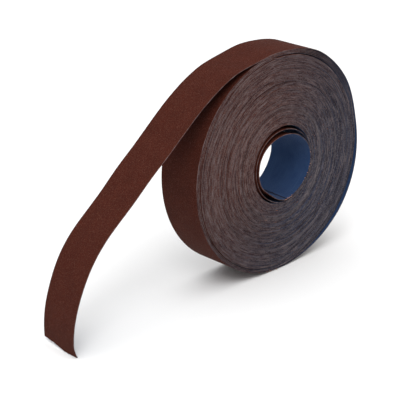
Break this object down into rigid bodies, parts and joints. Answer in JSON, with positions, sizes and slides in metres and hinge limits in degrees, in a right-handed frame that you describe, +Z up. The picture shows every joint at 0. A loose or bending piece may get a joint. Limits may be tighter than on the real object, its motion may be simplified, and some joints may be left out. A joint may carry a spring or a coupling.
{
  "type": "abrasive cloth roll",
  "caption": "Coreless roll of cloth-backed abrasive strip standing on its rim, its free tail curving down to the floor.",
  "frame": {"origin": "on the roll's axis at the middle of the wound strip's width", "axes": "+Y along the roll's axis, away from the shown face; +Z up; the free tail leaves the top of the roll towards -X"},
  "size_m": [0.381, 0.054, 0.23],
  "materials": {
    "abrasive_coat": "matt brown grit bonded to the outer face",
    "cloth_backing": "matt blue woven cotton",
    "wound_turns": "cut edges of cloth and grit, wound turn on turn"
  },
  "bodies": {
    "outer_lap": {"outer_lap_backing": "cloth_backing", "outer_lap_coat": "abrasive_coat"},
    "turns_8": {"wound_turns_8": "wound_turns"},
    "turns_7": {"wound_turns_7": "wound_turns"},
    "turns_6": {"wound_turns_6": "wound_turns"},
    "turns_5": {"wound_turns_5": "wound_turns"},
    "turns_4": {"wound_turns_4": "wound_turns"},
    "turns_3": {"wound_turns_3": "wound_turns"},
    "turns_2": {"wound_turns_2": "wound_turns"},
    "turns_1": {"wound_turns_1": "wound_turns"},
    "second_lap": {"second_lap_backing": "cloth_backing", "second_lap_coat": "abrasive_coat"},
    "first_lap": {"first_lap_backing": "cloth_backing", "first_lap_coat": "abrasive_coat"},
    "inner_end": {"inner_end_backing": "cloth_backing", "inner_end_coat": "abrasive_coat"},
    "tail_1": {"tail_1_backing": "cloth_backing", "tail_1_coat": "abrasive_coat"},
    "tail_2": {"tail_2_backing": "cloth_backing", "tail_2_coat": "abrasive_coat"},
    "tail_3": {"tail_3_backing": "cloth_backing", "tail_3_coat": "abrasive_coat"},
    "tail_4": {"tail_4_backing": "cloth_backing", "tail_4_coat": "abrasive_coat"},
    "tail_5": {"tail_5_backing": "cloth_backing", "tail_5_coat": "abrasive_coat"},
    "tail_6": {"tail_6_backing": "cloth_backing", "tail_6_coat": "abrasive_coat"}
  },
  "joints": [
    {"name": "roll_turn", "type": "hinge", "parent": "outer_lap", "child": "turns_8", "pos_m": [0, 0, 0], "axis": [0, 1, 0], "continuous": true},
    {"name": "turns_7_slide", "type": "slide", "parent": "turns_8", "child": "turns_7", "axis": [0, -1, 0], "range_m": [-0.002, 0.002]},
    {"name": "turns_6_slide", "type": "slide", "parent": "turns_7", "child": "turns_6", "axis": [0, -1, 0], "range_m": [-0.002, 0.002]},
    {"name": "turns_5_slide", "type": "slide", "parent": "turns_6", "child": "turns_5", "axis": [0, -1, 0], "range_m": [-0.002, 0.002]},
    {"name": "turns_4_slide", "type": "slide", "parent": "turns_5", "child": "turns_4", "axis": [0, -1, 0], "range_m": [-0.002, 0.002]},
    {"name": "turns_3_slide", "type": "slide", "parent": "turns_4", "child": "turns_3", "axis": [0, -1, 0], "range_m": [-0.002, 0.002]},
    {"name": "turns_2_slide", "type": "slide", "parent": "turns_3", "child": "turns_2", "axis": [0, -1, 0], "range_m": [-0.002, 0.002]},
    {"name": "turns_1_slide", "type": "slide", "parent": "turns_2", "child": "turns_1", "axis": [0, -1, 0], "range_m": [-0.002, 0.002]},
    {"name": "second_lap_slide", "type": "slide", "parent": "turns_1", "child": "second_lap", "axis": [0, -1, 0], "range_m": [-0.002, 0.002]},
    {"name": "first_lap_slide", "type": "slide", "parent": "second_lap", "child": "first_lap", "axis": [0, -1, 0], "range_m": [-0.002, 0.002]},
    {"name": "inner_end_flex", "type": "hinge", "parent": "first_lap", "child": "inner_end", "pos_m": [0.02666, 0, -0.024], "axis": [0, 1, 0], "range_deg": [0, 25], "stiffness_Nm_per_rad": 0.02},
    {"name": "tail_lift", "type": "hinge", "parent": "outer_lap", "child": "tail_1", "pos_m": [-0.0064, 0, 0.11445], "axis": [0, 1, 0], "range_deg": [0, 35], "stiffness_Nm_per_rad": 0.25, "springref_deg": 5.73},
    {"name": "tail_bend_2", "type": "hinge", "parent": "tail_1", "child": "tail_2", "pos_m": [-0.06086, 0, 0.10292], "axis": [0, 1, 0], "range_deg": [-4.5, 3.5], "stiffness_Nm_per_rad": 0.15},
    {"name": "tail_bend_3", "type": "hinge", "parent": "tail_2", "child": "tail_3", "pos_m": [-0.10933, 0, 0.07555], "axis": [0, 1, 0], "range_deg": [-2.7, 2.1], "stiffness_Nm_per_rad": 0.15},
    {"name": "tail_bend_4", "type": "hinge", "parent": "tail_3", "child": "tail_4", "pos_m": [-0.21639, 0, -0.00869], "axis": [0, 1, 0], "range_deg": [-14, 18], "stiffness_Nm_per_rad": 0.15},
    {"name": "tail_bend_5", "type": "hinge", "parent": "tail_4", "child": "tail_5", "pos_m": [-0.2438, 0, -0.0383], "axis": [0, 1, 0], "range_deg": [-14, 18], "stiffness_Nm_per_rad": 0.15},
    {"name": "tail_bend_6", "type": "hinge", "parent": "tail_5", "child": "tail_6", "pos_m": [-0.26072, 0, -0.07492], "axis": [0, 1, 0], "range_deg": [-14, 18], "stiffness_Nm_per_rad": 0.15}
  ],
  "couplings": [
    {"joint": "turns_6_slide", "follows": "turns_7_slide", "ratio": 1},
    {"joint": "turns_5_slide", "follows": "turns_7_slide", "ratio": 1},
    {"joint": "turns_4_slide", "follows": "turns_7_slide", "ratio": 1},
    {"joint": "turns_3_slide", "follows": "turns_7_slide", "ratio": 1},
    {"joint": "turns_2_slide", "follows": "turns_7_slide", "ratio": 1},
    {"joint": "turns_1_slide", "follows": "turns_7_slide", "ratio": 1},
    {"joint": "second_lap_slide", "follows": "turns_7_slide", "ratio": 1},
    {"joint": "first_lap_slide", "follows": "turns_7_slide", "ratio": 1},
    {"joint": "tail_bend_2", "follows": "tail_bend_4", "ratio": -0.25},
    {"joint": "tail_bend_3", "follows": "tail_bend_4", "ratio": -0.15},
    {"joint": "tail_bend_5", "follows": "tail_bend_4", "ratio": 1},
    {"joint": "tail_bend_6", "follows": "tail_bend_4", "ratio": 1}
  ]
}
